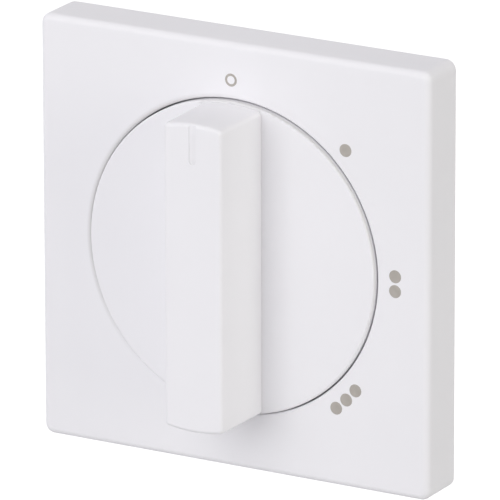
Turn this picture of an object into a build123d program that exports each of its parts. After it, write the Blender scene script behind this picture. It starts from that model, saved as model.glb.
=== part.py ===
from build123d import *
import os

# Flush rotary step switch with a square cover plate, an off position and three steps.
# Millimetres. X runs right, Z up and Y into the wall. The wall is the plane y = 0, the room is at
# negative y, and the knob turns about the Y axis.

# Cover plate
plate_side = 63.0
plate_depth = 7.6
plate_wall = 1.8
plate_corner = 1.5
plate_edge = 1.0
lip_round = 0.3
well_radius = 23.25
well_depth = 4.2
well_wall = 1.5
floor_wall = 1.4
boss_radius = 8.0
rib_wall = 1.2
rib_offset = 7.0
peg_radius = 1.2
peg_offset = 12.5

# Knob
knob_gap = 0.2
disc_rise = 0.6
rim_round = 0.3
disc_wall = 1.8
skirt_wall = 1.6
skirt_clear = 0.5
grip_width = 9.8
grip_rise = 10.9
grip_draft = 1.1
grip_end_draft = 0.3
grip_edge = 0.6
grip_corner = 0.7
grip_wall = 1.9
pointer_inset = 0.4
tail_inset = 0.05
hub_half = 6.5
groove_width = 1.1
groove_length = 5.9
groove_depth = 0.13
knob_rib_inner = 9.6
knob_rib_count = 6

# Knob clip
clip_thick = 0.4
clip_bow = 0.1
clip_width = 3.2
clip_margin = 0.5
clip_clear = 0.03

# Detents: off and three steps, 45 degrees apart
step_angle = 45.0
step_count = 3
travel = step_angle * step_count
upward = 90.0

# Spindle and bearing neck
spindle_radius = 3.0
flat_height = 1.8
square_side = 4.2
journal_radius = 2.0
neck_radius = 5.0
neck_gap = 0.3
neck_chamfer = 0.4
spindle_reach = 8.0
run_clear = 0.05
nut_flats = 14.0
nut_height = 2.0
thread_clear = 0.03
end_clear = 0.2

# Support plate and its box screw holes, on the diagonals of a 60 mm wall box
support_clear = 0.9
support_thick = 1.0
support_corner = 2.5
notch_width = 10.0
notch_depth = 2.2
box_circle = 60.0
box_hole_radius = 2.0

# Switch housing
base_width = 36.0
base_height = 45.0
base_corner = 3.0
base_edge = 0.8
register_wall = 1.2
register_height = 0.4
lid_thick = 3.0
rear_height = 3.5
chamber_clear = 0.5
contact_room = 2.6
rear_wall = 1.3
screw_edge = 3.2
screw_z = 7.5
screw_radius = 1.25
screw_head_radius = 2.2
screw_head_height = 1.6
screw_head_sink = 0.1
recess_length = 2.4
recess_width = 0.7
recess_depth = 0.8
slip = 0.15

# Rotor
washer_thick = 0.5
washer_radius = 5.5
star_radius = 8.6
scallop_radius = 1.9
scallop_circle = 9.2
star_height = 4.45
carrier_height = 4.4
carrier_margin = 1.8
lug_rise = 1.7
lug_half_angle = 12.0
lug_clear_angle = 1.0
lug_clear = 0.3

# Detent leaf springs
leaf_thick = 0.4
leaf_width = 3.6
leaf_x = 9.4
leaf_half = 10.6
leaf_clear = 0.4
bulge_radius = 1.4

# Contacts and terminals
strip_thick = 0.8
strip_width = 3.6
strip_rise = 0.4
ring_inner = 3.4
ring_outer = 5.6
track_radius = 4.5
stage_radius = 9.2
rivet_radius = 1.4
rivet_rise = 0.5
contact_gap = 0.1
bridge_width = 4.0
foot_radius = 0.9
bridge_inner = 3.5
bridge_margin = 1.2
bridge_sink = 0.6
pocket_depth = 3.4
wire_radius = 0.2
coil_radius = 1.5
coil_pitch = 0.62
terminal_edge = 7.0
terminal_end = 4.0
pad_side = 7.2
clamp_thick = 0.8
terminal_radius = 1.75
terminal_head_radius = 3.2
terminal_head_height = 2.0
terminal_reach = 4.0
terminal_slot = 0.9

# Levels that follow from these sizes
plate_front_y = -plate_depth
well_floor_y = plate_front_y + well_depth
well_back_y = well_floor_y + floor_wall
inner_front_y = plate_front_y + plate_wall
disc_radius = well_radius - knob_gap
disc_front_y = plate_front_y - disc_rise
disc_back_y = disc_front_y + disc_wall
skirt_back_y = well_floor_y - skirt_clear
grip_front_y = disc_front_y - grip_rise
neck_end_y = disc_back_y + neck_gap
spindle_end_y = disc_back_y - spindle_reach
lid_back_y = lid_thick
rotor_front_y = lid_back_y + washer_thick + run_clear
carrier_y = rotor_front_y + star_height
carrier_back_y = carrier_y + carrier_height
bridge_y = carrier_back_y - bridge_sink
pocket_y = carrier_back_y - pocket_depth
chamber_floor_y = carrier_back_y + contact_room
base_back_y = chamber_floor_y + rear_height
strip_y = chamber_floor_y - strip_rise
strip_back_y = strip_y + strip_thick
rivet_y = strip_y - rivet_rise
carrier_radius = stage_radius + carrier_margin
chamber_radius = carrier_radius + chamber_clear
lug_radius = carrier_radius + lug_rise
bridge_outer = stage_radius + bridge_margin
head_y = strip_back_y + clamp_thick
sink_y = base_back_y - screw_head_height - screw_head_sink
journal_end_y = base_back_y - rear_wall - end_clear
support_side = plate_side - 2 * (plate_wall + support_clear)
terminal_pitch = base_width / 2 - terminal_edge
pad_z = base_height / 2 - terminal_end
screw_x = base_width / 2 - screw_edge
terminals = [(terminal_pitch, -pad_z), (0, -pad_z), (-terminal_pitch, -pad_z), (0, pad_z)]
housing_points = [(x, z) for x in (-screw_x, screw_x) for z in (-screw_z, screw_z)]
rivet_points = [Vector(stage_radius, 0).rotate(Axis.Z, -step_angle * (n + 1)) for n in range(step_count)]
lug_start = upward + travel / 2
bore_flat = flat_height + clip_thick + clip_bow + 2 * clip_clear


def facing(y):
    """Sketch plane parallel to the wall at depth y, seen from the room."""
    return Plane.XZ.offset(-y)


# Cover plate: square shell, open at the back, with a round well that the knob turns in
with BuildPart() as cover_plate:
    with BuildSketch(facing(0)):
        RectangleRounded(plate_side, plate_side, plate_corner)
    extrude(amount=plate_depth)
    fillet(cover_plate.edges().group_by(Axis.Y)[0], plate_edge)
    cavity_side = plate_side - 2 * plate_wall
    with BuildSketch(facing(0)):
        RectangleRounded(cavity_side, cavity_side, plate_corner / 2)
    extrude(amount=-inner_front_y, mode=Mode.SUBTRACT)
    # Well wall and floor
    with BuildSketch(facing(well_back_y)):
        Circle(well_radius + well_wall)
    extrude(amount=well_back_y - inner_front_y)
    # Stiffening ribs from the well to the rim, two on each side
    rib_inner = (well_radius**2 - rib_offset**2) ** 0.5 + well_wall / 2
    rib_outer = plate_side / 2 - plate_wall / 2
    rib_middle = (rib_inner + rib_outer) / 2
    with BuildSketch(facing(well_back_y)):
        with GridLocations(2 * rib_middle, 2 * rib_offset, 2, 2):
            Rectangle(rib_outer - rib_inner, rib_wall)
        with GridLocations(2 * rib_offset, 2 * rib_middle, 2, 2):
            Rectangle(rib_wall, rib_outer - rib_inner)
    extrude(amount=well_back_y - inner_front_y)
    # Spacer boss that stands on the support plate, with two pegs against turning
    with BuildSketch(facing(-support_thick)):
        Circle(boss_radius)
    extrude(amount=-support_thick - well_floor_y)
    with BuildSketch(facing(-support_thick / 5)):
        with GridLocations(0, 2 * peg_offset, 1, 2):
            Circle(peg_radius)
    extrude(amount=-well_back_y)
    with BuildSketch(facing(well_floor_y)):
        Circle(well_radius)
    extrude(amount=well_depth, mode=Mode.SUBTRACT)
    with BuildSketch(facing(0)):
        Circle(neck_radius + slip)
    extrude(amount=plate_depth, mode=Mode.SUBTRACT)
    front_face = cover_plate.faces().sort_by(Axis.Y)[0]
    fillet(front_face.inner_wires().edges(), lip_round)

cover_plate.part.label = "cover_plate"

# Knob: disc with a skirt and a tall hollow grip bar whose tail reaches the disc's rim and whose
# pointer end stops just short of it
with BuildPart() as knob:
    grip_root_y = disc_front_y + 2 * rim_round
    with BuildSketch(facing(grip_root_y)):
        Rectangle(grip_width, 3 * disc_radius)
    extrude(amount=grip_root_y - grip_front_y, taper=grip_draft)
    with BuildSketch(facing(grip_root_y)):
        with Locations((0, (tail_inset - pointer_inset) / 2)):
            Circle(disc_radius - (tail_inset + pointer_inset) / 2)
    extrude(amount=grip_root_y - grip_front_y, taper=grip_end_draft, mode=Mode.INTERSECT)
    upright = knob.edges().filter_by(lambda e: e.bounding_box().size.Y > grip_rise / 2)
    fillet(upright, grip_corner)
    fillet(knob.edges().group_by(Axis.Y)[0], grip_edge)
    # Pointer groove, open at the bar's upper end
    groove_end = disc_radius - groove_length
    with BuildSketch(facing(grip_front_y + groove_depth)):
        with Locations((0, groove_end + groove_length / 2)):
            Rectangle(groove_width, groove_length)
        with Locations((0, groove_end)):
            Circle(groove_width / 2)
    extrude(amount=groove_depth, mode=Mode.SUBTRACT)
    # Disc and skirt
    with BuildSketch(Plane.XY) as disc_profile:
        with BuildLine():
            Polyline(
                (0, disc_front_y),
                (disc_radius, disc_front_y),
                (disc_radius, skirt_back_y),
                (disc_radius - skirt_wall, skirt_back_y),
                (disc_radius - skirt_wall, disc_back_y),
                (0, disc_back_y),
                close=True,
            )
        make_face()
        rim = disc_profile.vertices().group_by(Axis.X)[-1]
        fillet(rim.sort_by(Axis.Y)[0], rim_round)
    revolve(axis=Axis.Y)
    # Two hollows in the bar, one each side of the hub
    hollow_width = grip_width - 2 * grip_wall
    hollow_end = disc_radius - pointer_inset - grip_wall
    with BuildSketch(facing(disc_back_y)):
        with GridLocations(0, hollow_end + hub_half, 1, 2):
            Rectangle(hollow_width, hollow_end - hub_half)
    extrude(amount=disc_back_y - grip_front_y - grip_wall, taper=grip_draft, mode=Mode.SUBTRACT)
    # D bore for the spindle, with room for the clip on its flat
    with BuildSketch(facing(disc_back_y)):
        Circle(spindle_radius + thread_clear)
        with Locations((0, bore_flat)):
            Rectangle(2 * neck_radius, neck_radius, align=(Align.CENTER, Align.MIN), mode=Mode.SUBTRACT)
    extrude(amount=disc_back_y - spindle_end_y + end_clear, mode=Mode.SUBTRACT)
    # Ribs under the disc
    rib_span = disc_radius - skirt_wall / 2 - knob_rib_inner
    with BuildSketch(facing((skirt_back_y + disc_back_y) / 2)):
        with PolarLocations(knob_rib_inner + rib_span / 2, knob_rib_count):
            Rectangle(rib_span, rib_wall)
    extrude(amount=(skirt_back_y - disc_back_y) / 2)

knob.part.label = "knob"

# Knob clip: bowed leaf between the spindle's flat and the knob's bore
with BuildPart() as knob_clip:
    clip_front_y = spindle_end_y + clip_margin
    clip_back_y = disc_back_y - clip_margin
    clip_middle_y = (clip_front_y + clip_back_y) / 2
    clip_z = flat_height + clip_clear
    with BuildSketch(Plane.YZ):
        with BuildLine():
            Polyline(
                (clip_front_y, clip_z + clip_bow),
                (clip_middle_y, clip_z),
                (clip_back_y, clip_z + clip_bow),
                (clip_back_y, clip_z + clip_bow + clip_thick),
                (clip_middle_y, clip_z + clip_thick),
                (clip_front_y, clip_z + clip_bow + clip_thick),
                close=True,
            )
        make_face()
    extrude(amount=clip_width / 2, both=True)

knob_clip.part.label = "knob_clip"

# Cover nut: thin hexagon nut that clamps the cover plate on the neck
with BuildPart() as cover_nut:
    with BuildSketch(facing(well_floor_y)):
        RegularPolygon(nut_flats / 2, 6, major_radius=False)
        Circle(neck_radius + thread_clear, mode=Mode.SUBTRACT)
    extrude(amount=nut_height)
    chamfer(cover_nut.edges().filter_by(GeomType.CIRCLE).group_by(Axis.Y)[0], nut_height / 6)

cover_nut.part.label = "cover_nut"

# Support plate: flat steel plate with the box screw holes at its corners
with BuildPart() as support_plate:
    with BuildSketch(facing(0)):
        RectangleRounded(support_side, support_side, support_corner)
        with PolarLocations(support_side / 2, 4):
            Rectangle(2 * notch_depth, notch_width, mode=Mode.SUBTRACT)
        Circle(neck_radius + slip, mode=Mode.SUBTRACT)
        with PolarLocations(box_circle / 2, 4, start_angle=45):
            Circle(box_hole_radius, mode=Mode.SUBTRACT)
        with Locations(*housing_points):
            Circle(screw_radius + thread_clear, mode=Mode.SUBTRACT)
        with GridLocations(0, 2 * peg_offset, 1, 2):
            Circle(peg_radius + slip, mode=Mode.SUBTRACT)
    extrude(amount=support_thick)

support_plate.part.label = "support_plate"

# Bearing lid: front wall of the switch, with the neck that the spindle turns in
with BuildPart() as bearing_lid:
    with BuildSketch(facing(lid_back_y)):
        RectangleRounded(base_width, base_height, base_corner)
    extrude(amount=lid_thick)
    with BuildSketch(facing(lid_back_y)):
        Circle(chamber_radius - slip)
        Circle(chamber_radius - slip - register_wall, mode=Mode.SUBTRACT)
    extrude(amount=-register_height)
    with BuildSketch(facing(0)):
        Circle(neck_radius)
    extrude(amount=-neck_end_y)
    chamfer(bearing_lid.edges().group_by(Axis.Y)[0], neck_chamfer)
    with BuildSketch(facing(lid_back_y)):
        Circle(spindle_radius + run_clear)
    extrude(amount=lid_back_y - neck_end_y, mode=Mode.SUBTRACT)
    with BuildSketch(facing(lid_back_y)):
        with Locations(*housing_points):
            Circle(screw_radius + slip)
    extrude(amount=lid_thick, mode=Mode.SUBTRACT)

bearing_lid.part.label = "bearing_lid"

# Switch base: chamber for the rotor in front, four terminal bays behind
with BuildPart() as switch_base:
    with BuildSketch(facing(base_back_y)):
        RectangleRounded(base_width, base_height, base_corner)
    extrude(amount=base_back_y - lid_back_y)
    fillet(switch_base.edges().group_by(Axis.Y)[-1], base_edge)
    # Chamber, widened over the stop lug's travel so that its ends stop the rotor
    track_span = travel + 2 * (lug_half_angle + lug_clear_angle)
    with BuildSketch(facing(lid_back_y)):
        Circle(chamber_radius)
        with BuildLine():
            stop_arc = CenterArc((0, 0), lug_radius + lug_clear, upward - track_span / 2, track_span)
            Line((0, 0), stop_arc @ 0)
            Line(stop_arc @ 1, (0, 0))
        make_face()
    extrude(amount=lid_back_y - chamber_floor_y, mode=Mode.SUBTRACT)
    # Slots that hold the ends of the leaf springs
    with BuildSketch(facing(lid_back_y)):
        with GridLocations(2 * leaf_x, 0, 2, 1):
            Rectangle(leaf_thick + 2 * contact_gap, 2 * leaf_half + 2 * contact_gap)
    extrude(amount=lid_back_y - carrier_y, mode=Mode.SUBTRACT)
    # Rear bearing
    with BuildSketch(facing(chamber_floor_y)):
        Circle(journal_radius + run_clear)
    extrude(amount=chamber_floor_y - base_back_y + rear_wall, mode=Mode.SUBTRACT)
    # Beds of the contact strips
    with BuildSketch(facing(strip_y)):
        Circle(ring_outer + slip)
        Circle(ring_inner - slip, mode=Mode.SUBTRACT)
        with Locations((0, (track_radius + pad_z) / 2)):
            Rectangle(strip_width + 2 * slip, pad_z - track_radius)
        for rivet_at, pad_at in zip(rivet_points, terminals):
            with BuildLine() as bed:
                Line(rivet_at, pad_at)
            trace(bed.line, strip_width + 2 * slip)
            with Locations(rivet_at):
                Circle(strip_width / 2 + slip)
    extrude(amount=strip_y - strip_back_y - run_clear, mode=Mode.SUBTRACT)
    # Terminal bays, open to the back and to the edge, with barriers between them
    bay_side = pad_side + 2 * slip
    bay_end = base_height / 2
    bay_start = pad_z - bay_side / 2
    with BuildSketch(facing(strip_y)):
        with Locations(*[(x, z / pad_z * (bay_start + bay_end) / 2) for x, z in terminals]):
            Rectangle(bay_side, bay_end - bay_start)
    extrude(amount=strip_y - base_back_y, mode=Mode.SUBTRACT)
    with BuildSketch(facing(strip_y)):
        with Locations(*terminals):
            Circle(terminal_radius + slip)
    extrude(amount=terminal_reach + terminal_radius, mode=Mode.SUBTRACT)
    # Housing screw holes with sunk heads
    with BuildSketch(facing(lid_back_y)):
        with Locations(*housing_points):
            Circle(screw_radius + slip)
    extrude(amount=lid_back_y - base_back_y, mode=Mode.SUBTRACT)
    with BuildSketch(facing(sink_y)):
        with Locations(*housing_points):
            Circle(screw_head_radius + slip)
    extrude(amount=sink_y - base_back_y, mode=Mode.SUBTRACT)

switch_base.part.label = "switch_base"

# Spindle: round in the neck, D shaped in the knob, square in the rotor, thinner at its rear journal
with BuildPart() as spindle:
    with BuildSketch(facing(rotor_front_y)):
        Circle(spindle_radius)
    extrude(amount=rotor_front_y - spindle_end_y)
    chamfer(spindle.edges().group_by(Axis.Y)[0], neck_chamfer)
    with BuildSketch(facing(disc_back_y)):
        with Locations((0, flat_height)):
            Rectangle(2 * neck_radius, neck_radius, align=(Align.CENTER, Align.MIN))
    extrude(amount=disc_back_y - spindle_end_y, mode=Mode.SUBTRACT)
    with BuildSketch(facing(rotor_front_y)):
        Rectangle(square_side, square_side)
    extrude(amount=rotor_front_y - carrier_back_y)
    with BuildSketch(facing(carrier_back_y)):
        Circle(journal_radius)
    extrude(amount=carrier_back_y - journal_end_y)
    chamfer(spindle.edges().group_by(Axis.Y)[-1], neck_chamfer)

spindle.part.label = "spindle"

# Thrust washer
with BuildPart() as thrust_washer:
    with BuildSketch(facing(lid_back_y)):
        Circle(washer_radius)
        Circle(spindle_radius + slip, mode=Mode.SUBTRACT)
    extrude(amount=-washer_thick)

thrust_washer.part.label = "thrust_washer"

# Rotor: star wheel in front, carrier disc with the stop lug and the contact pocket behind
with BuildPart() as rotor:
    with BuildSketch(facing(rotor_front_y)):
        Circle(star_radius)
        with PolarLocations(scallop_circle, 8):
            Circle(scallop_radius, mode=Mode.SUBTRACT)
    extrude(amount=rotor_front_y - carrier_y)
    with BuildSketch(facing(carrier_y)):
        Circle(carrier_radius)
        with BuildLine():
            lug_arc = CenterArc((0, 0), lug_radius, lug_start - lug_half_angle, 2 * lug_half_angle)
            Line((0, 0), lug_arc @ 0)
            Line(lug_arc @ 1, (0, 0))
        make_face()
    extrude(amount=carrier_y - carrier_back_y)
    with BuildSketch(facing(rotor_front_y)):
        Rectangle(square_side + 2 * run_clear, square_side + 2 * run_clear)
    extrude(amount=rotor_front_y - carrier_back_y, mode=Mode.SUBTRACT)
    with BuildSketch(facing(pocket_y)):
        with Locations(((bridge_inner + bridge_outer) / 2, 0)):
            Rectangle(bridge_outer - bridge_inner + 2 * contact_gap, bridge_width + 2 * contact_gap)
    extrude(amount=pocket_y - carrier_back_y, mode=Mode.SUBTRACT)

rotor.part.label = "rotor"

# Leaf springs: held at both ends, with a bulge that drops into the star wheel
leaf_parts = []
for side in (-1, 1):
    with BuildPart() as leaf:
        with BuildSketch(facing(carrier_y - leaf_clear)):
            with BuildLine() as leaf_line:
                bulge_x = side * (leaf_x - bulge_radius)
                Line((side * leaf_x, -leaf_half), (side * leaf_x, -bulge_radius))
                ThreePointArc((side * leaf_x, -bulge_radius), (bulge_x, 0), (side * leaf_x, bulge_radius))
                Line((side * leaf_x, bulge_radius), (side * leaf_x, leaf_half))
            trace(leaf_line.line, leaf_thick)
        extrude(amount=leaf_width)
    leaf_parts.append(leaf.part)

detent_spring_left, detent_spring_right = leaf_parts
detent_spring_left.label = "detent_spring_left"
detent_spring_right.label = "detent_spring_right"

# Moving contact: bridge in the rotor's pocket, with one foot on the ring and one on the step track
with BuildPart() as moving_contact:
    with BuildSketch(facing(bridge_y)):
        with Locations(((bridge_inner + bridge_outer) / 2, 0)):
            RectangleRounded(bridge_outer - bridge_inner, bridge_width, foot_radius)
    extrude(amount=-strip_thick)
    with BuildSketch(facing(bridge_y)):
        with Locations((track_radius, 0)):
            Circle(foot_radius)
    extrude(amount=bridge_y - strip_y + contact_gap)
    with BuildSketch(facing(bridge_y)):
        with Locations((stage_radius, 0)):
            Circle(foot_radius)
    extrude(amount=bridge_y - rivet_y + contact_gap)
    feet = moving_contact.edges().filter_by(GeomType.CIRCLE).sort_by(Axis.Y)[-2:]
    chamfer(feet, foot_radius / 3)

moving_contact.part.label = "moving_contact"

# Contact spring: short coil between the rotor's pocket and the bridge
with BuildPart() as contact_spring:
    coil_x = (track_radius + stage_radius) / 2
    coil_start_y = pocket_y + wire_radius + clip_clear
    coil_length = bridge_y - pocket_y - 2 * (wire_radius + clip_clear)
    with BuildLine() as coil:
        Helix(coil_pitch, coil_length, coil_radius, center=(coil_x, coil_start_y, 0), direction=(0, 1, 0))
    with BuildSketch(Plane(origin=coil.line @ 0, z_dir=coil.line % 0)):
        RegularPolygon(wire_radius, 8)
    sweep(path=coil.line)

contact_spring.part.label = "contact_spring"

# Common contact: ring round the rear bearing, with a strip to the supply terminal
with BuildPart() as common_contact:
    with BuildSketch(facing(strip_y)):
        Circle(ring_outer)
        with Locations((0, (track_radius + pad_z) / 2)):
            Rectangle(strip_width, pad_z - track_radius)
        with Locations((0, pad_z)):
            Rectangle(pad_side, pad_side)
            Circle(terminal_radius + thread_clear, mode=Mode.SUBTRACT)
        Circle(ring_inner, mode=Mode.SUBTRACT)
    extrude(amount=-strip_thick)

common_contact.part.label = "common_contact"

# Step contacts: one strip from each step's rivet to its terminal
stage_parts = []
for rivet_at, pad_at in zip(rivet_points, terminals):
    with BuildPart() as stage:
        with BuildSketch(facing(strip_y)):
            with BuildLine() as strip_line:
                Line(rivet_at, pad_at)
            trace(strip_line.line, strip_width)
            with Locations(rivet_at):
                Circle(strip_width / 2)
            with Locations(pad_at):
                Rectangle(pad_side, pad_side)
                Circle(terminal_radius + thread_clear, mode=Mode.SUBTRACT)
        extrude(amount=-strip_thick)
    stage_parts.append(stage.part)
    stage.part.label = f"stage_contact_{len(stage_parts)}"

# Contact rivets: one on each step contact
with BuildPart() as contact_rivets:
    with BuildSketch(facing(strip_y)):
        with Locations(*rivet_points):
            Circle(rivet_radius)
    extrude(amount=rivet_rise)
    chamfer(contact_rivets.edges().group_by(Axis.Y)[0], rivet_rise / 3)

contact_rivets.part.label = "contact_rivets"

# Clamp washers: square, one on each terminal pad
with BuildPart() as clamp_washers:
    with BuildSketch(facing(strip_back_y)):
        with Locations(*terminals):
            Rectangle(pad_side - 2 * slip, pad_side - 2 * slip)
            Circle(terminal_radius + slip, mode=Mode.SUBTRACT)
    extrude(amount=-clamp_thick)

clamp_washers.part.label = "clamp_washers"

# Terminal screws: slotted pan heads behind the clamp washers
with BuildPart() as terminal_screws:
    with BuildSketch(facing(head_y)):
        with Locations(*terminals):
            Circle(terminal_head_radius)
    extrude(amount=-terminal_head_height)
    chamfer(terminal_screws.edges().group_by(Axis.Y)[-1], terminal_head_height / 3)
    with BuildSketch(facing(head_y)):
        with Locations(*terminals):
            Circle(terminal_radius)
    extrude(amount=head_y - strip_y + terminal_reach)
    with BuildSketch(facing(head_y + terminal_head_height / 2)):
        with Locations(*terminals):
            Rectangle(2.5 * terminal_head_radius, terminal_slot)
    extrude(amount=-terminal_head_height, mode=Mode.SUBTRACT)

terminal_screws.part.label = "terminal_screws"

# Housing screws: from the back through base and lid into the support plate
with BuildPart() as housing_screws:
    with BuildSketch(facing(sink_y)):
        with Locations(*housing_points):
            Circle(screw_head_radius)
    extrude(amount=-screw_head_height)
    chamfer(housing_screws.edges().group_by(Axis.Y)[-1], screw_head_height / 3)
    with BuildSketch(facing(sink_y)):
        with Locations(*housing_points):
            Circle(screw_radius)
    extrude(amount=sink_y + support_thick)
    with BuildSketch(facing(sink_y + screw_head_height - recess_depth)):
        with Locations(*housing_points):
            Rectangle(recess_length, recess_width)
            Rectangle(recess_width, recess_length)
    extrude(amount=-screw_head_height, mode=Mode.SUBTRACT)

housing_screws.part.label = "housing_screws"

os.makedirs("parts", exist_ok=True)
export_step(cover_plate.part, "parts/cover_plate.step")
export_step(knob.part, "parts/knob.step")
export_step(knob_clip.part, "parts/knob_clip.step")
export_step(cover_nut.part, "parts/cover_nut.step")
export_step(support_plate.part, "parts/support_plate.step")
export_step(bearing_lid.part, "parts/bearing_lid.step")
export_step(switch_base.part, "parts/switch_base.step")
export_step(spindle.part, "parts/spindle.step")
export_step(thrust_washer.part, "parts/thrust_washer.step")
export_step(rotor.part, "parts/rotor.step")
export_step(detent_spring_left, "parts/detent_spring_left.step")
export_step(detent_spring_right, "parts/detent_spring_right.step")
export_step(moving_contact.part, "parts/moving_contact.step")
export_step(contact_spring.part, "parts/contact_spring.step")
export_step(common_contact.part, "parts/common_contact.step")
for stage_part in stage_parts:
    export_step(stage_part, f"parts/{stage_part.label}.step")
export_step(contact_rivets.part, "parts/contact_rivets.step")
export_step(clamp_washers.part, "parts/clamp_washers.step")
export_step(terminal_screws.part, "parts/terminal_screws.step")
export_step(housing_screws.part, "parts/housing_screws.step")
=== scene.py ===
import math

import bpy
import numpy as np
from mathutils import Matrix, Vector


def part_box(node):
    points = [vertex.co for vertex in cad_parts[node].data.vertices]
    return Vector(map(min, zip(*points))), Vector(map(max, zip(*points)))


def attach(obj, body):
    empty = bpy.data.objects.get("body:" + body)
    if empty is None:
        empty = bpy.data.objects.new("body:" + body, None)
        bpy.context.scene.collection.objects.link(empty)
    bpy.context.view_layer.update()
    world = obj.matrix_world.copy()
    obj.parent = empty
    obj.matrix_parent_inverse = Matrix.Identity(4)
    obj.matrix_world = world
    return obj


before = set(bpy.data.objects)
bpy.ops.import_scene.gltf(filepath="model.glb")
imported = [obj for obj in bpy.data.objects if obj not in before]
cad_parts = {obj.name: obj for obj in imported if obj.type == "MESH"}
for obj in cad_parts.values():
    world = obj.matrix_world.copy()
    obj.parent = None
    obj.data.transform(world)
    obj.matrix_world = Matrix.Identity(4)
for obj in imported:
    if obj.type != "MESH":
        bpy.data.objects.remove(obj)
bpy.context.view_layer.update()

# Cover plate
# Square shell of white thermoplastic, injection moulded in a finely spark-eroded tool. It stands on the
# support plate by its boss, and the hexagon nut on the switch's neck clamps it.
mm = 0.001
cover_white = (0.905, 0.900, 0.926, 1)
cover_flow_white = (0.890, 0.886, 0.911, 1)
white_gloss = 0.25
# Grey of the painted shade on the opening's lip and on the knob's rim, pointer groove and bar foot.
painted_shade_grey = (0.45, 0.44, 0.42, 1)
well_radius = 23.25 * mm
# Painted shade on the left of the opening's lip: where it is full, where it clears, and its side.
lip_shade_full = well_radius + 0.15 * mm
lip_shade_clear = well_radius + 0.75 * mm
lip_shade_side = (-0.91, 0.0, 0.42)


def put(tree, kind, sockets=None, **settings):
    """Adds one shader node with its settings, its sockets filled with values or other nodes' outputs."""
    node = tree.nodes.new(kind)
    for name, value in settings.items():
        setattr(node, name, value)
    for name, value in (sockets or {}).items():
        if isinstance(value, bpy.types.NodeSocket):
            tree.links.new(value, node.inputs[name])
        else:
            node.inputs[name].default_value = value
    return node


def reckon(tree, operation, *terms):
    """One step of arithmetic on numbers."""
    return put(tree, "ShaderNodeMath", dict(enumerate(terms)), operation=operation).outputs[0]


def reckon_vector(tree, operation, *terms):
    """One step of arithmetic on vectors, as the results Vector and Value."""
    return put(tree, "ShaderNodeVectorMath", dict(enumerate(terms)), operation=operation).outputs


def in_turn(tree, operation, first, *others):
    """One operation on several numbers, one after another."""
    result = first
    for other in others:
        result = reckon(tree, operation, result, other)
    return result


def ramp(tree, value, start, stop, low=0.0, high=1.0):
    """Runs straight from low to high while a value goes from start to stop, and stays level beyond them."""
    limits = {"From Min": start, "From Max": stop, "To Min": low, "To Max": high}
    return put(tree, "ShaderNodeMapRange", {"Value": value, **limits}).outputs[0]


def blended(tree, share, first, second):
    """The first colour at a share of nought, the second at one. A mix node takes its colours at sockets 6
    and 7 and gives the result at 2."""
    return put(tree, "ShaderNodeMix", {"Factor": share, 6: first, 7: second}, data_type="RGBA").outputs[2]


def noise(tree, place, scale, detail):
    """A smooth random pattern about a half, with so many swings to a metre and so many finer layers."""
    return put(tree, "ShaderNodeTexNoise", {"Vector": place, "Scale": scale, "Detail": detail}).outputs[0]


def open_group(name, inputs, outputs):
    """An empty node group with named sockets, given as (name, kind) pairs: its tree, inputs and end node."""
    tree = bpy.data.node_groups.new(name, "ShaderNodeTree")
    for socket_name, kind in inputs:
        tree.interface.new_socket(socket_name, in_out="INPUT", socket_type="NodeSocket" + kind)
    for socket_name, kind in outputs:
        tree.interface.new_socket(socket_name, in_out="OUTPUT", socket_type="NodeSocket" + kind)
    return tree, put(tree, "NodeGroupInput").outputs, put(tree, "NodeGroupOutput")


def fill_group(tree, end, **results):
    """Joins the results to the group's outputs of the same names."""
    for name, socket in results.items():
        tree.links.new(socket, end.inputs[name])


def varied_roughness(tree, given, first, second, middle):
    """The plain roughness, moved by its spread times what two patterns together stand above their middle."""
    above = reckon(tree, "SUBTRACT", reckon(tree, "ADD", first, second), middle)
    return reckon(tree, "MULTIPLY_ADD", above, given["Roughness Spread"], given["Roughness"])


def moulded_skin():
    """Group: skin of a moulding, with slow streaks where the melt flowed, a fine eroded grain, and flecks of
    filler, each the middle of a cell."""
    tree, given, end = open_group(
        "moulded_skin",
        [("Vector", "Vector"), ("Grain Scale", "Float"), ("Flow Scale", "Float"), ("Colour", "Color"),
         ("Flow Colour", "Color"), ("Roughness", "Float"), ("Roughness Spread", "Float")],
        [("Colour", "Color"), ("Roughness", "Float"), ("Height", "Float"), ("Fleck", "Float")],
    )
    flow = noise(tree, given["Vector"], given["Flow Scale"], detail=3.0)
    grain = noise(tree, given["Vector"], given["Grain Scale"], detail=2.0)
    streak = ramp(tree, flow, start=0.35, stop=0.65)
    colour = blended(tree, streak, given["Colour"], given["Flow Colour"])
    roughness = varied_roughness(tree, given, grain, streak, middle=1.0)
    cells = put(tree, "ShaderNodeTexVoronoi", {"Vector": given["Vector"], "Scale": given["Grain Scale"]})
    fleck = ramp(tree, cells.outputs["Distance"], start=0.12, stop=0.3, low=1.0, high=0.0)
    fill_group(tree, end, Colour=colour, Roughness=roughness, Height=grain, Fleck=fleck)
    return tree


moulded_skin_group = moulded_skin()


def new_material(name):
    """A node material, its tree and its shader."""
    material = bpy.data.materials.new(name)
    material.use_nodes = True
    tree = material.node_tree
    return material, tree, tree.nodes["Principled BSDF"]


def object_place(tree):
    """The place of a point in its object, in metres."""
    return put(tree, "ShaderNodeTexCoord").outputs["Object"]


def grouped(tree, group, sockets):
    """Places a node group in a tree, with its own values."""
    return put(tree, "ShaderNodeGroup", sockets, node_tree=group).outputs


def coat(tree, shader, skin):
    """Joins a skin's colour and roughness to the shader."""
    tree.links.new(skin["Colour"], shader.inputs["Base Color"])
    tree.links.new(skin["Roughness"], shader.inputs["Roughness"])


def roughen(tree, shader, height, depth, strength):
    """Turns a height that changes over the surface into the shader's normal, over a depth in metres."""
    bump = put(tree, "ShaderNodeBump", {"Height": height, "Distance": depth, "Strength": strength})
    tree.links.new(bump.outputs[0], shader.inputs["Normal"])


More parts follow.
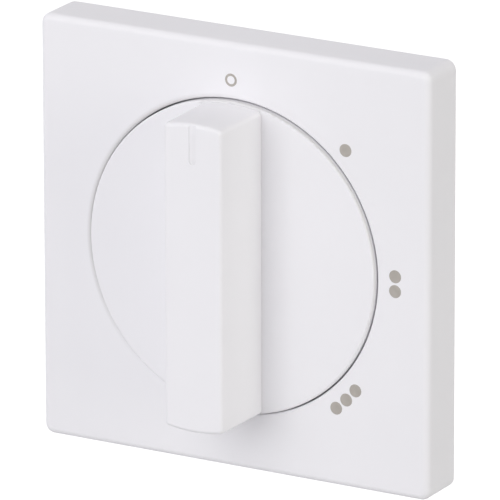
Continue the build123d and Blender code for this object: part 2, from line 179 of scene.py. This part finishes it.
def moulded_plastic(name, colour, flow_colour, roughness, spread, grain_scale, flow_scale, depth, offset):
    """A plastic with a moulding's skin, its pattern moved by an offset so that no two pieces match."""
    material, tree, shader = new_material(name)
    shifted = put(tree, "ShaderNodeMapping", {"Vector": object_place(tree), "Location": offset}).outputs[0]
    skin = grouped(
        tree, moulded_skin_group,
        {"Vector": shifted, "Grain Scale": grain_scale, "Flow Scale": flow_scale, "Colour": colour,
         "Flow Colour": flow_colour, "Roughness": roughness, "Roughness Spread": spread},
    )
    coat(tree, shader, skin)
    roughen(tree, shader, skin["Height"], depth, strength=0.25)
    return material, tree, shader, skin


def white_plastic(name, offset):
    """The white plastic of the cover and the knob: a satin skin that mirrors little."""
    material, tree, shader, skin = moulded_plastic(
        name, cover_white, cover_flow_white, roughness=0.5, spread=0.06, grain_scale=5000.0, flow_scale=28.0,
        depth=0.01 * mm, offset=offset,
    )
    shader.inputs["Specular IOR Level"].default_value = white_gloss
    return material, tree, shader, skin


def dress(material, *names):
    """Gives the named CAD nodes this material."""
    for name in names:
        for material_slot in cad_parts[name].material_slots:
            material_slot.material = material


def paint_shade(tree, shader, skin, mask):
    """Greys the skin's colour by the mask: painted shade where shade falls in gaps, grooves and creases."""
    tree.links.new(blended(tree, mask, skin["Colour"], painted_shade_grey), shader.inputs["Base Color"])


def flattened(tree, place):
    """A place without its part along the Y axis."""
    return reckon_vector(tree, "MULTIPLY", place, (1, 0, 1))["Vector"]


def round_axis():
    """Group: the distance from the Y axis, and a share that is one towards a side of it and nought away from
    that side, a ramp of the cosine of the angle between."""
    tree, given, end = open_group(
        "round_axis", [("Vector", "Vector"), ("Side", "Vector")], [("Radius", "Float"), ("Share", "Float")],
    )
    flat = flattened(tree, given["Vector"])
    radius = reckon_vector(tree, "LENGTH", flat)["Value"]
    outward = reckon_vector(tree, "NORMALIZE", flat)["Vector"]
    facing = reckon_vector(tree, "DOT_PRODUCT", outward, given["Side"])["Value"]
    fill_group(tree, end, Radius=radius, Share=ramp(tree, facing, start=0.25, stop=0.85))
    return tree


round_axis_group = round_axis()


def lip_painted_shade():
    """Group: painted shade on one side of the opening's lip, a ramp that falls with the distance from the Y
    axis.
    """
    tree, given, end = open_group(
        "lip_painted_shade",
        [("Vector", "Vector"), ("Side", "Vector"), ("Full Radius", "Float"), ("Clear Radius", "Float"),
         ("Amount", "Float")],
        [("Soil", "Float")],
    )
    place = grouped(tree, round_axis_group, {"Vector": given["Vector"], "Side": given["Side"]})
    near = ramp(tree, place["Radius"], start=given["Clear Radius"], stop=given["Full Radius"])
    fill_group(tree, end, Soil=in_turn(tree, "MULTIPLY", near, place["Share"], given["Amount"]))
    return tree


cover, cover_tree, cover_shader, cover_skin = white_plastic("cover_white_satin", (0.3, 0.1, 0.7))
# Painted shade: the left side of the opening's lip is greyed, standing in for the shading of a rounder lip.
lip = grouped(
    cover_tree, lip_painted_shade(),
    {"Vector": object_place(cover_tree), "Side": lip_shade_side, "Full Radius": lip_shade_full,
     "Clear Radius": lip_shade_clear, "Amount": 0.48},
)
paint_shade(cover_tree, cover_shader, cover_skin, lip["Soil"])
dress(cover, "cover_plate")

# Printed marks
# An open ring for off and one, two and three dots for the steps, pad printed in warm grey ink on the
# finished plate. The ink stands about 15 micrometres proud, with a soft rounded edge.
plate_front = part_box("cover_plate")[0].y
ink_grey = (0.400, 0.370, 0.335, 1)
ink_thin_grey = (0.450, 0.420, 0.385, 1)
ink_rise = 0.015 * mm
ink_sink = 0.004 * mm
edge_power = 8
mark_circle = 26.0 * mm
print_shift = (-0.28 * mm, -0.28 * mm, 0.08 * mm, -0.12 * mm)
dot_radius = 0.95 * mm
dot_pitch = 2.18 * mm
dot_places = 40
ring_stroke = 0.35 * mm
ring_places = 48
step_turn = math.radians(45)


def turned_mesh(name, radii, depths, centre, count, closed):
    """Surface of revolution about an axis along Y: the profile of radius and depth is carried round a circle
    of count places. A closed profile joins its last point to its first, as in a ring. An open one starts and
    ends on the axis, where a fan of triangles closes each pole."""
    turn = np.linspace(0, 2 * np.pi, count, endpoint=False)
    rows = len(radii) if closed else len(radii) - 2
    body = slice(None) if closed else slice(1, -1)
    across = np.outer(radii[body], np.sin(turn))
    along = np.repeat(depths[body], count).reshape(rows, count)
    upward = np.outer(radii[body], np.cos(turn))
    points = np.stack([across, along, upward], axis=-1).reshape(-1, 3) + centre
    index = np.arange(rows * count).reshape(rows, count)
    here = index if closed else index[:-1]
    after = np.roll(index, -1, axis=0) if closed else index[1:]
    quads = np.stack([here, np.roll(here, -1, 1), np.roll(after, -1, 1), after], axis=-1).reshape(-1, 4)
    faces = quads.tolist()
    if not closed:
        first, last = len(points), len(points) + 1
        poles = np.array([[0, depths[0], 0], [0, depths[-1], 0]]) + centre
        points = np.concatenate([points, poles])
        top = np.stack([np.full(count, first), np.roll(index[0], -1), index[0]], axis=-1)
        bottom = np.stack([np.full(count, last), index[-1], np.roll(index[-1], -1)], axis=-1)
        faces += top.tolist() + bottom.tolist()
    mesh = bpy.data.meshes.new(name)
    mesh.from_pydata(points.tolist(), [], faces)
    mesh.shade_smooth()
    piece = bpy.data.objects.new(name, mesh)
    bpy.context.scene.collection.objects.link(piece)
    return piece


def joined(name, pieces):
    """Several meshes as one piece."""
    if len(pieces) > 1:
        with bpy.context.temp_override(active_object=pieces[0], selected_editable_objects=pieces):
            bpy.ops.object.join()
    pieces[0].name = name
    return pieces[0]


def ink_depths(share):
    """Depths across a stroke of ink: its rise, less the eighth power of the share of the way from its middle
    to its edge, then the two ends of its flat back."""
    return np.append(-ink_rise * (1 - share**edge_power), [ink_sink, ink_sink])


def ink_dot(centre):
    """A spot of ink, level in the middle, with its edge at the dot's radius and a flat back."""
    share = np.array([0, 0.5, 0.8, 0.9, 0.96, 1])
    radii = np.append(share, [1, 0]) * dot_radius
    return turned_mesh("ink", radii, ink_depths(share), centre, dot_places, closed=False)


def ink_ring(centre):
    """A ring of ink, level along the middle of its stroke, with the outer edge at the dot's radius."""
    share = np.array([-1, -0.95, -0.8, 0, 0.8, 0.95, 1])
    middle = dot_radius - ring_stroke / 2
    radii = middle + np.append(share, [1, -1]) * ring_stroke / 2
    return turned_mesh("ink", radii, ink_depths(share), centre, ring_places, closed=True)


def mark_place(step, along):
    """A place on the mark circle: the step's angle, turned clockwise from the top, then so far along the
    arc, and moved sideways by what the print of that step is off."""
    turn = step * step_turn + along / mark_circle
    return (print_shift[step] + mark_circle * math.sin(turn), plate_front, mark_circle * math.cos(turn))


ink, ink_tree, ink_shader = new_material("mark_ink")
ink_skin = grouped(
    ink_tree, moulded_skin_group,
    {"Vector": object_place(ink_tree), "Grain Scale": 9000.0, "Flow Scale": 700.0, "Colour": ink_grey,
     "Flow Colour": ink_thin_grey, "Roughness": 0.5, "Roughness Spread": 0.1},
)
coat(ink_tree, ink_shader, ink_skin)
marks = [joined("mark_off", [ink_ring(mark_place(0, 0))])]
for step in (1, 2, 3):
    dots = [ink_dot(mark_place(step, (place - (step - 1) / 2) * dot_pitch)) for place in range(step)]
    marks.append(joined(f"mark_step_{step}", dots))
for mark in marks:
    mark.data.materials.append(ink)
    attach(mark, "housing")

# Knob
# Disc with a skirt and a tall hollow grip bar, moulded in one piece of the cover's white thermoplastic. It
# is pushed on the spindle's flat, where a spring clip holds it, and turns in the cover's well.
knob_low, knob_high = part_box("knob")
disc_radius = knob_high.x
disc_rise = 0.6 * mm
disc_face = plate_front - disc_rise
bar_half_width = 4.9 * mm
# Painted shade on the rim down in the gap: the radius where it starts, its depths and its side.
rim_shade_radius = disc_radius - 0.75 * mm
rim_shade_middle = disc_face + 0.25 * mm
rim_shade_root = disc_face + 0.65 * mm
rim_shade_side = (0.64, 0.0, 0.77)
# The pointer groove, and where the painted shade on its floor lies.
groove_half_width = 0.56 * mm
groove_floor = knob_low.y + 0.13 * mm
groove_floor_reach = 0.03 * mm
groove_low = 16.7 * mm
groove_high = 21.4 * mm
groove_fade = 0.8 * mm
# Painted shade in the crease at the foot of the bar: its depth, reach and half widths.
foot_shade_depth = disc_face + 0.14 * mm
foot_shade_reach = 0.16 * mm
foot_shade_full = bar_half_width - 0.2 * mm
foot_shade_clear = bar_half_width + 1.0 * mm


def rim_painted_shade():
    """Group: painted shade on the disc's rim down in the gap, the product of two ramps of the depth, up from
    the disc's face and down to the root of the rim, most of it on one side."""
    tree, given, end = open_group(
        "rim_painted_shade",
        [("Vector", "Vector"), ("Side", "Vector"), ("Side Share", "Float"), ("Radius", "Float"),
         ("Face", "Float"), ("Middle", "Float"), ("Root", "Float"), ("Amount", "Float")],
        [("Soil", "Float")],
    )
    place = grouped(tree, round_axis_group, {"Vector": given["Vector"], "Side": given["Side"]})
    outer = reckon(tree, "GREATER_THAN", place["Radius"], given["Radius"])
    depth = put(tree, "ShaderNodeSeparateXYZ", {"Vector": given["Vector"]}).outputs["Y"]
    rise = ramp(tree, depth, start=given["Face"], stop=given["Middle"])
    fall = ramp(tree, depth, start=given["Root"], stop=given["Middle"])
    shared = ramp(tree, given["Side Share"], start=0.0, stop=1.0, low=1.0, high=place["Share"])
    fill_group(tree, end, Soil=in_turn(tree, "MULTIPLY", outer, rise, fall, shared, given["Amount"]))
    return tree


def groove_painted_shade():
    """Group: painted shade on the floor of the pointer groove, a third of it along the groove, ramped to all
    of it at the lower end and to none at the top."""
    tree, given, end = open_group(
        "groove_painted_shade",
        [("Vector", "Vector"), ("Half Width", "Float"), ("Floor", "Float"), ("Reach", "Float"),
         ("Low", "Float"), ("High", "Float"), ("Fade", "Float"), ("Amount", "Float")],
        [("Soil", "Float")],
    )
    place = put(tree, "ShaderNodeSeparateXYZ", {"Vector": given["Vector"]}).outputs
    within = reckon(tree, "LESS_THAN", reckon(tree, "ABSOLUTE", place["X"]), given["Half Width"])
    on_floor = reckon(tree, "COMPARE", place["Y"], given["Floor"], given["Reach"])
    above_end = reckon(tree, "ADD", given["Low"], given["Fade"])
    below_top = reckon(tree, "SUBTRACT", given["High"], given["Fade"])
    at_end = ramp(tree, place["Z"], start=above_end, stop=given["Low"], low=0.33)
    fade = ramp(tree, place["Z"], start=given["High"], stop=below_top)
    fill_group(tree, end, Soil=in_turn(tree, "MULTIPLY", within, on_floor, at_end, fade, given["Amount"]))
    return tree


def foot_painted_shade():
    """Group: painted shade on the disc in the crease at the foot of the bar, the cube of a ramp of the
    distance sideways from the bar's middle."""
    tree, given, end = open_group(
        "foot_painted_shade",
        [("Vector", "Vector"), ("Face", "Float"), ("Reach", "Float"), ("Full Half Width", "Float"),
         ("Clear Half Width", "Float"), ("Amount", "Float")],
        [("Soil", "Float")],
    )
    place = put(tree, "ShaderNodeSeparateXYZ", {"Vector": given["Vector"]}).outputs
    sideways = reckon(tree, "ABSOLUTE", place["X"])
    at_face = reckon(tree, "COMPARE", place["Y"], given["Face"], given["Reach"])
    near = ramp(tree, sideways, start=given["Clear Half Width"], stop=given["Full Half Width"])
    close = reckon(tree, "POWER", near, 3.0)
    fill_group(tree, end, Soil=in_turn(tree, "MULTIPLY", at_face, close, given["Amount"]))
    return tree


knob, knob_tree, knob_shader, knob_skin = white_plastic("knob_white_satin", (0.9, 0.4, 0.2))
knob_place = object_place(knob_tree)
# Painted shade on the rim where it goes down into the gap round the knob.
rim = grouped(
    knob_tree, rim_painted_shade(),
    {"Vector": knob_place, "Side": rim_shade_side, "Side Share": 0.9, "Radius": rim_shade_radius,
     "Face": disc_face, "Middle": rim_shade_middle, "Root": rim_shade_root, "Amount": 0.5},
)
# Painted shade on the floor of the pointer groove, darkest at its lower end.
groove = grouped(
    knob_tree, groove_painted_shade(),
    {"Vector": knob_place, "Half Width": groove_half_width, "Floor": groove_floor,
     "Reach": groove_floor_reach, "Low": groove_low, "High": groove_high, "Fade": groove_fade,
     "Amount": 0.14},
)
# Painted shade in the crease at the foot of the bar.
foot = grouped(
    knob_tree, foot_painted_shade(),
    {"Vector": knob_place, "Face": foot_shade_depth, "Reach": foot_shade_reach,
     "Full Half Width": foot_shade_full, "Clear Half Width": foot_shade_clear, "Amount": 0.3},
)
# The knob's painted shade: the darkest of the rim's, the groove's and the foot's.
knob_painted_shade = in_turn(knob_tree, "MAXIMUM", rim["Soil"], groove["Soil"], foot["Soil"])
paint_shade(knob_tree, knob_shader, knob_skin, knob_painted_shade)
dress(knob, "knob")

# Support plate
# Square of 1 mm steel sheet, punched and zinc plated. It lies on the wall box, whose screws go through the
# holes at its corners, and the switch is screwed to its back.
zinc_colour = (0.62, 0.64, 0.67, 1)
zinc_stain = (0.50, 0.53, 0.58, 1)


def metal_finish():
    """Group: skin of a metal piece, with fine lines left by rolling or drawing, a noise stretched along
    them, and a slow stain where the surface has aged."""
    tree, given, end = open_group(
        "metal_finish",
        [("Vector", "Vector"), ("Line Scale", "Vector"), ("Stain Scale", "Float"), ("Colour", "Color"),
         ("Stain Colour", "Color"), ("Roughness", "Float"), ("Roughness Spread", "Float")],
        [("Colour", "Color"), ("Roughness", "Float"), ("Height", "Float")],
    )
    stretched = reckon_vector(tree, "MULTIPLY", given["Vector"], given["Line Scale"])["Vector"]
    lines = noise(tree, stretched, scale=1.0, detail=3.0)
    stain = noise(tree, given["Vector"], given["Stain Scale"], detail=5.0)
    aged = ramp(tree, stain, start=0.4, stop=0.7)
    colour = blended(tree, aged, given["Colour"], given["Stain Colour"])
    roughness = varied_roughness(tree, given, lines, aged, middle=0.7)
    fill_group(tree, end, Colour=colour, Roughness=roughness, Height=lines)
    return tree


metal_finish_group = metal_finish()


def bare_metal(name, colour, stain_colour, roughness, spread, line_scale, stain_scale, depth):
    """A metal with the lines and stains of its finish."""
    material, tree, shader = new_material(name)
    finish = grouped(
        tree, metal_finish_group,
        {"Vector": object_place(tree), "Line Scale": line_scale, "Stain Scale": stain_scale,
         "Colour": colour, "Stain Colour": stain_colour, "Roughness": roughness, "Roughness Spread": spread},
    )
    coat(tree, shader, finish)
    shader.inputs["Metallic"].default_value = 1.0
    roughen(tree, shader, finish["Height"], depth, strength=0.3)
    return material


zinc_sheet = bare_metal(
    "zinc_sheet", zinc_colour, zinc_stain, roughness=0.42, spread=0.16, line_scale=(300.0, 300.0, 9000.0),
    stain_scale=160.0, depth=0.01 * mm,
)
dress(zinc_sheet, "support_plate")

# Bearing lid and switch base
# Two compression mouldings of grey mineral-filled thermoset. The lid's neck carries the spindle and the
# cover nut; the base holds the rotor in front and the terminals behind. Four screws close them.
grey_moulding = (0.300, 0.310, 0.320, 1)
grey_flow = (0.255, 0.265, 0.275, 1)
grey_filler = (0.480, 0.480, 0.470, 1)
thermoset, thermoset_tree, thermoset_shader, thermoset_skin = moulded_plastic(
    "grey_thermoset", grey_moulding, grey_flow, roughness=0.55, spread=0.12, grain_scale=2600.0,
    flow_scale=70.0, depth=0.03 * mm, offset=(0.2, 0.6, 0.5),
)
flecked = blended(thermoset_tree, thermoset_skin["Fleck"], thermoset_skin["Colour"], grey_filler)
thermoset_tree.links.new(flecked, thermoset_shader.inputs["Base Color"])
dress(thermoset, "bearing_lid", "switch_base")

# Spindle, thrust washer and knob clip
# The spindle is turned from free-cutting steel and milled flat and square. The washer between the lid and
# the rotor is punched steel, and the clip between the spindle's flat and the knob is a bowed leaf of
# spring steel.
steel_colour = (0.56, 0.56, 0.57, 1)
steel_stain = (0.46, 0.46, 0.48, 1)
blued_colour = (0.34, 0.34, 0.37, 1)
blued_stain = (0.26, 0.25, 0.30, 1)
turned_steel = bare_metal(
    "turned_steel", steel_colour, steel_stain, roughness=0.30, spread=0.14,
    line_scale=(200.0, 8000.0, 200.0), stain_scale=260.0, depth=0.008 * mm,
)
dress(turned_steel, "spindle", "thrust_washer")
spring_steel = bare_metal(
    "spring_steel", blued_colour, blued_stain, roughness=0.34, spread=0.14,
    line_scale=(400.0, 7000.0, 400.0), stain_scale=300.0, depth=0.006 * mm,
)
dress(spring_steel, "knob_clip")

# Rotor
# Star wheel, stop lug and contact carrier moulded in one piece of ivory acetal, a slippery plastic that
# runs dry in the base. The spindle's square drives it.
acetal_ivory = (0.720, 0.690, 0.600, 1)
acetal_flow = (0.690, 0.655, 0.560, 1)
acetal = moulded_plastic(
    "rotor_acetal", acetal_ivory, acetal_flow, roughness=0.36, spread=0.08, grain_scale=4000.0,
    flow_scale=120.0, depth=0.008 * mm, offset=(0.5, 0.8, 0.1),
)[0]
dress(acetal, "rotor")

# Springs
# Two leaves of spring steel, each held by its ends in the base, drop their bulges into the star wheel. A
# short coil of spring wire in the rotor's pocket presses the moving contact on the fixed ones.
dress(spring_steel, "detent_spring_left", "detent_spring_right", "contact_spring")

# Contacts
# Strips, ring and bridge are stamped from brass, and each step's strip carries a riveted silver button. The
# strips lie in beds in the floor of the base's chamber and run to the terminals.
brass_colour = (0.74, 0.56, 0.27, 1)
brass_stain = (0.58, 0.40, 0.18, 1)
silver_colour = (0.88, 0.86, 0.82, 1)
silver_stain = (0.66, 0.62, 0.55, 1)
contact_brass = bare_metal(
    "contact_brass", brass_colour, brass_stain, roughness=0.33, spread=0.16,
    line_scale=(6000.0, 300.0, 300.0), stain_scale=380.0, depth=0.008 * mm,
)
dress(contact_brass, "common_contact", "moving_contact")
dress(contact_brass, "stage_contact_1", "stage_contact_2", "stage_contact_3")
contact_silver = bare_metal(
    "contact_silver", silver_colour, silver_stain, roughness=0.28, spread=0.12,
    line_scale=(900.0, 900.0, 900.0), stain_scale=900.0, depth=0.006 * mm,
)
dress(contact_silver, "contact_rivets")

# Nut, clamp washers and screws
# The thin hexagon nut that clamps the cover is nickel-plated brass. The terminal and housing screws are
# cold-headed steel with blue zinc plate, and so are the square washers that clamp the wires.
nickel_colour = (0.66, 0.62, 0.56, 1)
nickel_stain = (0.56, 0.52, 0.46, 1)
far = 1.0
terminal_head_radius = 3.2 * mm
housing_head_radius = 2.2 * mm
terminal_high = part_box("terminal_screws")[1]
terminal_pitch = terminal_high.x - terminal_head_radius
terminal_z = terminal_high.z - terminal_head_radius
screw_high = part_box("housing_screws")[1]
screw_x = screw_high.x - housing_head_radius
screw_z = screw_high.z - housing_head_radius


def turned_marks():
    """Group: rings left by heading and turning, a one-dimensional noise of the distance from the nearest
    screw's axis, found by wrapping the place into one cell of their layout."""
    tree, given, end = open_group(
        "turned_marks",
        [("Vector", "Vector"), ("Low", "Vector"), ("High", "Vector"), ("Rings Per Metre", "Float")],
        [("Rings", "Float")],
    )
    cell = reckon_vector(tree, "WRAP", given["Vector"], given["High"], given["Low"])["Vector"]
    corners = reckon_vector(tree, "ADD", given["High"], given["Low"])["Vector"]
    centre = reckon_vector(tree, "MULTIPLY", corners, (0.5, 0.5, 0.5))["Vector"]
    arm = reckon_vector(tree, "SUBTRACT", cell, centre)["Vector"]
    radius = reckon_vector(tree, "LENGTH", flattened(tree, arm))["Value"]
    count = reckon(tree, "MULTIPLY", radius, given["Rings Per Metre"])
    rings = put(
        tree, "ShaderNodeTexNoise", {"W": count, "Scale": 1.0, "Detail": 2.0}, noise_dimensions="1D",
    )
    fill_group(tree, end, Rings=rings.outputs[0])
    return tree


turned_marks_group = turned_marks()


def turned_metal(name, colour, stain_colour, roughness, spread, low, high):
    """A plated metal with ring marks about the axis of each piece in a layout of cells from low to high."""
    material = bare_metal(
        name, colour, stain_colour, roughness, spread, line_scale=(900.0, 900.0, 900.0), stain_scale=500.0,
        depth=0.006 * mm,
    )
    tree = material.node_tree
    rings = grouped(
        tree, turned_marks_group,
        {"Vector": object_place(tree), "Low": low, "High": high, "Rings Per Metre": 9000.0},
    )
    roughen(tree, tree.nodes["Principled BSDF"], rings["Rings"], depth=0.008 * mm, strength=0.5)
    return material


nickel_plate = turned_metal(
    "nickel_plate", nickel_colour, nickel_stain, roughness=0.26, spread=0.1, low=(-far, -far, -far),
    high=(far, far, far),
)
dress(nickel_plate, "cover_nut")
zinc_terminal_screw = turned_metal(
    "zinc_terminal_screw", zinc_colour, zinc_stain, roughness=0.32, spread=0.12,
    low=(-terminal_pitch / 2, -far, 0), high=(terminal_pitch / 2, far, 2 * terminal_z),
)
dress(zinc_terminal_screw, "terminal_screws")
zinc_housing_screw = turned_metal(
    "zinc_housing_screw", zinc_colour, zinc_stain, roughness=0.32, spread=0.12, low=(0, -far, 0),
    high=(2 * screw_x, far, 2 * screw_z),
)
dress(zinc_housing_screw, "housing_screws")
zinc_washer = bare_metal(
    "zinc_washer", zinc_colour, zinc_stain, roughness=0.36, spread=0.14, line_scale=(7000.0, 300.0, 300.0),
    stain_scale=420.0, depth=0.008 * mm,
)
dress(zinc_washer, "clamp_washers")

# Floor
# A plain pale floor below the switch, which hangs as if on its wall. It reads as white in the picture and
# still takes the switch's shadow. From below it can be seen through.
floor_drop = 0.12
floor_half = 3.0
floor_pale = (0.60, 0.60, 0.60, 1)
floor_paler = (0.606, 0.606, 0.606, 1)
floor_lift = 0.75
plain_white = (1, 1, 1, 1)


def seen_mask(tree):
    """1 for rays that show the surroundings to the eye: straight, mirrored or through glass."""
    path = put(tree, "ShaderNodeLightPath").outputs
    straight, mirrored, through = path["Is Camera Ray"], path["Is Glossy Ray"], path["Is Transmission Ray"]
    return in_turn(tree, "MAXIMUM", straight, mirrored, through)


floor_mesh = bpy.data.meshes.new("floor")
floor_corners = np.array([[-1, -1], [1, -1], [1, 1], [-1, 1]]) * floor_half
floor_points = np.insert(floor_corners, 2, -floor_drop, axis=1)
floor_mesh.from_pydata(floor_points.tolist(), [], [(0, 1, 2, 3)])
floor = bpy.data.objects.new("floor", floor_mesh)
bpy.context.scene.collection.objects.link(floor)
floor_material, floor_tree, floor_shader = new_material("floor_pale")
mottle = noise(floor_tree, object_place(floor_tree), scale=6.0, detail=2.0)
floor_tone = blended(floor_tree, mottle, floor_pale, floor_paler)
floor_tree.links.new(floor_tone, floor_shader.inputs["Base Color"])
floor_shader.inputs["Roughness"].default_value = 0.9
floor_shader.inputs["Specular IOR Level"].default_value = 0.0
floor_shader.inputs["Emission Color"].default_value = plain_white
lift = reckon(floor_tree, "MULTIPLY", seen_mask(floor_tree), floor_lift)
floor_tree.links.new(lift, floor_shader.inputs["Emission Strength"])
from_below = put(floor_tree, "ShaderNodeNewGeometry").outputs["Backfacing"]
solid = reckon(floor_tree, "SUBTRACT", 1.0, from_below)
floor_tree.links.new(solid, floor_shader.inputs["Alpha"])
floor_mesh.materials.append(floor_material)

# Light
# A white room lights the switch softly from all round. Soft lamps in front, to the left and high up throw
# the grip's faint shadows, warmer ones light the top and the right side, and one behind lights the back.
room_level = 0.465
room_white = (0.96, 0.94, 1.0, 1)
lamp_white = (1.0, 1.0, 1.0)
lamp_warm = (1.0, 0.99, 0.88)
world = bpy.data.worlds.new("white_room")
bpy.context.scene.world = world
world.use_nodes = True
room_tree = world.node_tree
room = room_tree.nodes["Background"]
room_seen = seen_mask(room_tree)
room_tree.links.new(blended(room_tree, room_seen, room_white, plain_white), room.inputs["Color"])
room_strength = ramp(room_tree, room_seen, start=0.0, stop=1.0, low=room_level, high=1.0)
room_tree.links.new(room_strength, room.inputs["Strength"])


def soft_lamp(name, place, size, power, colour):
    """A square area lamp that faces the switch."""
    data = bpy.data.lights.new(name, "AREA")
    data.size = size
    data.energy = power
    data.color = colour
    lamp = bpy.data.objects.new(name, data)
    lamp.location = place
    lamp.rotation_euler = (-Vector(place)).to_track_quat("-Z", "Y").to_euler()
    bpy.context.scene.collection.objects.link(lamp)
    return lamp


soft_lamp("front_lamp", (-0.30, -1.152, 0.144), size=0.5, power=2.05, colour=lamp_white)
soft_lamp("key_lamp", (-0.48, -0.984, 0.48), size=0.8, power=2.0, colour=lamp_white)
soft_lamp("high_lamp", (-0.07, -0.96, 0.72), size=0.8, power=2.3, colour=lamp_white)
soft_lamp("top_lamp", (0.0, -0.12, 1.188), size=0.8, power=1.4, colour=lamp_warm)
soft_lamp("left_lamp", (-1.08, -0.528, 0.12), size=0.8, power=0.84, colour=lamp_white)
back_lamp = soft_lamp("back_lamp", (-0.45, 1.10, 0.0), size=0.5, power=4.0, colour=lamp_white)
back_lamp.visible_glossy = False
soft_lamp("right_lamp", (1.164, -0.204, 0.144), size=0.8, power=5.0, colour=lamp_warm)

# Camera
# It stands in front, to the right and above, far off with a long lens, and is rolled by a hair. Its place
# was fitted to the plate's corners and to the circle of the opening.
azimuth = math.radians(29.506)
elevation = math.radians(17.658)
roll = math.radians(0.128)
distance = 1272.86 * mm
aim_right = 1.357 * mm
aim_up = 1.070 * mm
back = Vector(
    (math.sin(azimuth) * math.cos(elevation), -math.cos(azimuth) * math.cos(elevation), math.sin(elevation))
)
level_right = Vector((math.cos(azimuth), math.sin(azimuth), 0))
level_up = back.cross(level_right)
right = math.cos(roll) * level_right - math.sin(roll) * level_up
up = math.sin(roll) * level_right + math.cos(roll) * level_up
camera_data = bpy.data.cameras.new("camera")
camera_data.sensor_width = 36.0
camera_data.lens = 645.2
camera = bpy.data.objects.new("camera", camera_data)
camera_turn = Matrix((right, up, back)).transposed().to_4x4()
camera.matrix_world = Matrix.Translation(back * distance - aim_right * right - aim_up * up) @ camera_turn
bpy.context.scene.collection.objects.link(camera)
bpy.context.scene.camera = camera
bpy.context.scene.view_settings.view_transform = "Standard"
